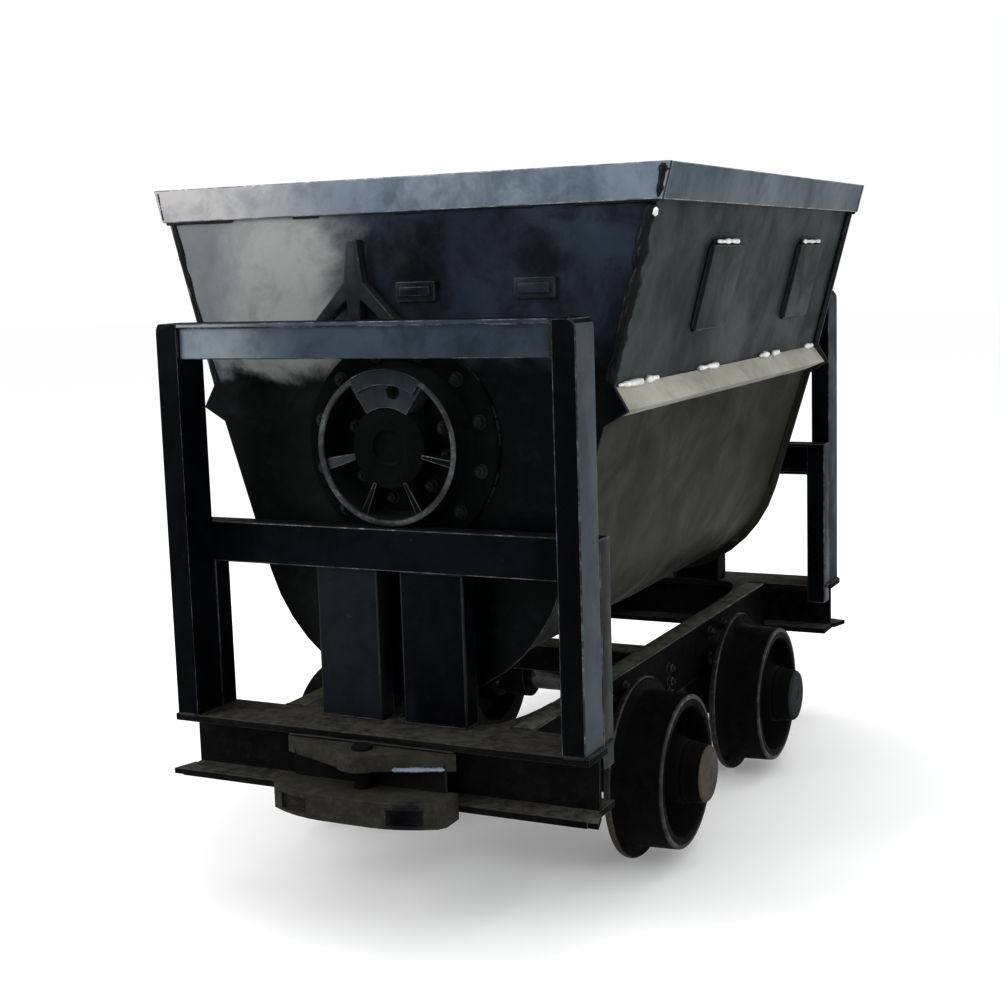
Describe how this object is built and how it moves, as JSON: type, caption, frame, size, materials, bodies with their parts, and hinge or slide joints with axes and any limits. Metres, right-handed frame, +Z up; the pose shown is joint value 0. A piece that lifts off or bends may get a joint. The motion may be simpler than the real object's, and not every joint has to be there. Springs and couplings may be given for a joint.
{
  "type": "side-tipping mine cart",
  "caption": "Four-wheeled rail cart with a V-shaped steel tub that rocks to either side on end rings between two portal frames, with jaw bumpers and coupling pins.",
  "frame": {"origin": "on the ground under the middle of the cart, with the wheel flanges at z = 0", "axes": "+X to the cart's right seen from its front end, +Y along the track from the front end (at -Y) to the rear end, +Z up"},
  "size_m": [1.02, 1.79, 1.3],
  "materials": {
    "frame_paint": "worn gloss black-blue paint",
    "tub_paint": "worn blue-black paint over plate",
    "rim_paint": "worn blue-grey paint",
    "ridge_paint": "pale dusty primer",
    "deck_paint": "dusty paint",
    "bumper_iron": "dusty casting",
    "ring_iron": "painted casting with worn rim",
    "wheel_iron": "dark casting",
    "cast_steel": "dark cast steel",
    "hub_cap": "dusty brown paint",
    "bare_steel": "worn bare steel"
  },
  "bodies": {
    "chassis": {"cross_tie": "deck_paint", "front_axle": "bare_steel", "front_bumper": "bumper_iron", "front_end_beam": "deck_paint", "front_left_axle_box": "cast_steel", "front_left_column": "frame_paint", "front_left_post": "frame_paint", "front_right_axle_box": "cast_steel", "front_right_column": "frame_paint", "front_right_post": "frame_paint", "front_rocker_frame": "frame_paint", "front_top_beam": "frame_paint", "left_sill": "deck_paint", "rear_axle": "bare_steel", "rear_bumper": "bumper_iron", "rear_end_beam": "deck_paint", "rear_left_axle_box": "cast_steel", "rear_left_column": "frame_paint", "rear_left_post": "frame_paint", "rear_right_axle_box": "cast_steel", "rear_right_column": "frame_paint", "rear_right_post": "frame_paint", "rear_rocker_frame": "frame_paint", "rear_top_beam": "frame_paint", "right_sill": "deck_paint"},
    "tub": {"front_end_plate": "tub_paint", "front_end_rib": "tub_paint", "front_left_wall_plate": "tub_paint", "front_right_wall_plate": "tub_paint", "front_rim_bar": "rim_paint", "front_rocker_ring": "ring_iron", "left_ridge_angle": "ridge_paint", "left_rim_angle": "rim_paint", "rear_end_plate": "tub_paint", "rear_end_rib": "tub_paint", "rear_left_wall_plate": "tub_paint", "rear_right_wall_plate": "tub_paint", "rear_rim_bar": "rim_paint", "rear_rocker_ring": "ring_iron", "right_ridge_angle": "ridge_paint", "right_rim_angle": "rim_paint", "tub_sheet": "tub_paint"},
    "pin_front": {"front_coupling_pin": "cast_steel"},
    "wheel_front_left": {"front_left_bearing": "bare_steel", "front_left_hub_cap": "hub_cap", "front_left_wheel": "wheel_iron"},
    "wheel_front_right": {"front_right_bearing": "bare_steel", "front_right_hub_cap": "hub_cap", "front_right_wheel": "wheel_iron"},
    "pin_rear": {"rear_coupling_pin": "cast_steel"},
    "wheel_rear_left": {"rear_left_bearing": "bare_steel", "rear_left_hub_cap": "hub_cap", "rear_left_wheel": "wheel_iron"},
    "wheel_rear_right": {"rear_right_bearing": "bare_steel", "rear_right_hub_cap": "hub_cap", "rear_right_wheel": "wheel_iron"}
  },
  "joints": [
    {"name": "tub_tilt", "type": "hinge", "parent": "chassis", "child": "tub", "pos_m": [0, 0, 0.834], "axis": [0, 1, 0], "range_deg": [-40, 40]},
    {"name": "front_left_wheel_spin", "type": "hinge", "parent": "chassis", "child": "wheel_front_left", "pos_m": [-0.34, -0.3, 0.175], "axis": [1, 0, 0], "continuous": true},
    {"name": "front_right_wheel_spin", "type": "hinge", "parent": "chassis", "child": "wheel_front_right", "pos_m": [0.34, -0.3, 0.175], "axis": [1, 0, 0], "continuous": true},
    {"name": "rear_left_wheel_spin", "type": "hinge", "parent": "chassis", "child": "wheel_rear_left", "pos_m": [-0.34, 0.3, 0.175], "axis": [1, 0, 0], "continuous": true},
    {"name": "rear_right_wheel_spin", "type": "hinge", "parent": "chassis", "child": "wheel_rear_right", "pos_m": [0.34, 0.3, 0.175], "axis": [1, 0, 0], "continuous": true},
    {"name": "front_pin_lift", "type": "slide", "parent": "chassis", "child": "pin_front", "axis": [0, 0, 1], "range_m": [0, 0.15]},
    {"name": "rear_pin_lift", "type": "slide", "parent": "chassis", "child": "pin_rear", "axis": [0, 0, 1], "range_m": [0, 0.15]}
  ]
}
